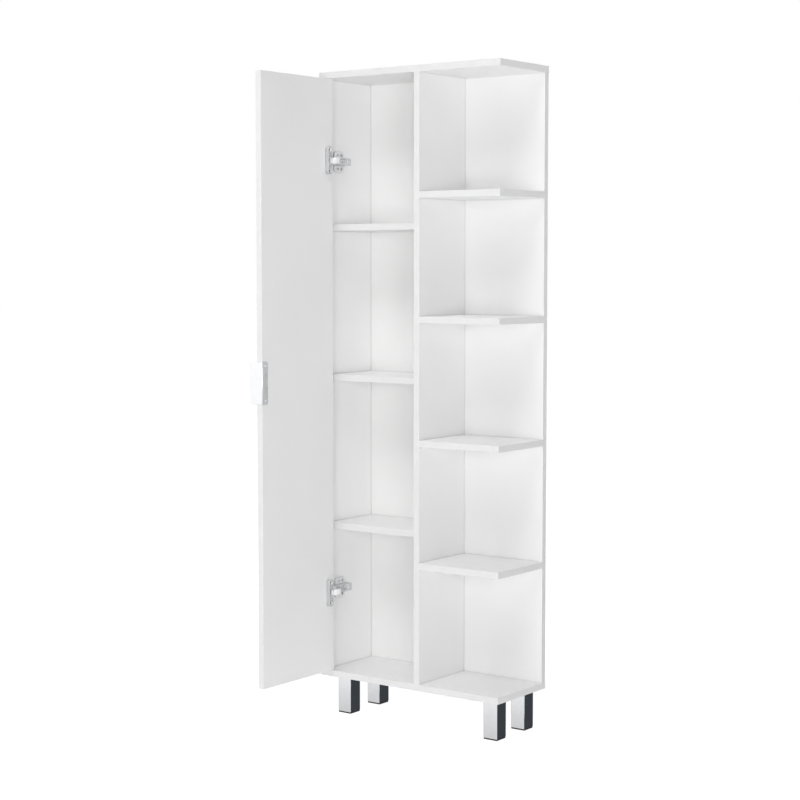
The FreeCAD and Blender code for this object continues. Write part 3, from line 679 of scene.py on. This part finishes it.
# Softboxes: place, width and height in metres, and power in watts
LAMPS = {
    "key": ((2.704, -3.721, 0.9), (2.4, 1.6), 83.5),
    "left": ((-3.0, -3.57, 2.0), (1.4, 1.4), 12),
    "top": ((0.2, -0.3, 4.6), (3.0, 3.0), 46),
    "top_front": ((0.8, -4.0, 6.5), (3.5, 2.5), 178),
    "rear": ((-2.6, 3.8, 1.8), (2.4, 2.4), 70),
}
LAMP_AIM = Vector((0, 0.1, 0.8))


def softbox(name, place, size, power):
    lamp = bpy.data.lights.new(name, "AREA")
    lamp.shape = "RECTANGLE"
    lamp.size, lamp.size_y = size
    lamp.energy = power
    holder = bpy.data.objects.new(name, lamp)
    holder.location = place
    holder.rotation_euler = (LAMP_AIM - Vector(place)).to_track_quat("-Z", "Y").to_euler()
    scene.collection.objects.link(holder)


# Cards that only shiny surfaces reflect: graded ones on the floor before the legs, dark ones round them, and
# a white one standing at the left, which the door's pull faces
CARD_PLACE = Vector((-3.0, -3.4, 0.55))
CARD_HALF = 0.7
CARD_GLOW = 1.5
FLAG_REACH = 4.0
FLAG_HEIGHT = 0.0003
UPPER_FLAG_HEIGHT = 2 * FLAG_HEIGHT
FLAG_TONES = (0.69, 0.99)
FLAG_FADE = 0.36
TRAIL_LENGTH = 0.35
TRAIL_MARGIN = 0.015
DARK_FLAG_COLOUR = (0.048, 0.054, 0.060)
DARK_FLAG_EDGE = 0.06


def glowing(name, colour):
    """A material that only glows, and its tree and shader."""
    material = bpy.data.materials.new(name)
    material.use_nodes = True
    tree = material.node_tree
    tree.nodes.clear()
    glow = add_node(tree, "Emission", Color=(*colour, 1))
    output = tree.nodes.new("ShaderNodeOutputMaterial")
    tree.links.new(glow.outputs[0], output.inputs["Surface"])
    return material, tree, glow


def graded_glow(name, near):
    """A glow that grows with the distance in front of a leg's foot."""
    material, tree, glow = glowing(name, grey(1))
    spot = tree.nodes.new("ShaderNodeTexCoord").outputs["Object"]
    along = tree.nodes.new("ShaderNodeSeparateXYZ")
    tree.links.new(spot, along.inputs[0])
    tone = map_range(tree, along.outputs["Y"], near, near - FLAG_FADE, *FLAG_TONES)
    tree.links.new(tone, glow.inputs["Strength"])
    return material


def trail(leg, start):
    """The strip of floor before a line that the camera sees mirrored in the front of a leg."""
    low, high = leg
    lean = (CAMERA_PLACE.x - low[0]) / (low[1] - CAMERA_PLACE.y)
    upright = rectangle((low[0] - TRAIL_MARGIN, start - TRAIL_LENGTH), (high[0] + TRAIL_MARGIN, start))
    return [(x - lean * (low[1] - y), y) for x, y in upright]


def floor_flags():
    """The cards on the floor, fitted to the legs: graded ones before them, and dark ones round them."""
    front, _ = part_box("leg_front_left")
    back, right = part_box("leg_back_right")
    _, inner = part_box("leg_back_left")
    graded = {
        "flag_front": ((-FLAG_REACH, -FLAG_REACH), (right[0], front[1]), front[1]),
        "flag_back": ((-FLAG_REACH, front[1]), (right[0], back[1]), back[1]),
    }
    for name, (low, high, near) in graded.items():
        yield flat_piece(name, rectangle(low, high), FLAG_HEIGHT, graded_glow(name, near))
    trail_glow = graded_glow("flag_trail", back[1])
    for side in ("left", "right"):
        corners = trail(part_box(f"leg_back_{side}"), front[1])
        yield flat_piece(f"flag_trail_{side}", corners, UPPER_FLAG_HEIGHT, trail_glow)
    dark = {
        "flag_under": ((inner[0], front[1]), (DARK_FLAG_EDGE, right[1])),
        "flag_behind": ((-FLAG_REACH, right[1]), (right[0], FLAG_REACH)),
        "flag_right": ((right[0], front[1]), (FLAG_REACH, FLAG_REACH)),
    }
    shade, *_ = glowing("dark_flag", DARK_FLAG_COLOUR)
    for name, (low, high) in dark.items():
        yield flat_piece(name, rectangle(low, high), UPPER_FLAG_HEIGHT, shade)


def white_card():
    material, _, glow = glowing("white_card", grey(1))
    glow.inputs["Strength"].default_value = CARD_GLOW
    corners = rectangle((-CARD_HALF, -CARD_HALF), (CARD_HALF, CARD_HALF))
    card = flat_piece("white_card", corners, 0, material)
    card.location = CARD_PLACE
    card.rotation_euler = (LAMP_AIM - CARD_PLACE).to_track_quat("Z", "Y").to_euler()
    return card


def make_flags():
    for flag in [*floor_flags(), white_card()]:
        flag.visible_camera = False
        flag.visible_diffuse = False
        flag.visible_transmission = False
        flag.visible_shadow = False


make_camera()
dress_nodes()
make_screws()
make_floor()
make_world()
for lamp_name, lamp_settings in LAMPS.items():
    softbox(lamp_name, *lamp_settings)
make_flags()
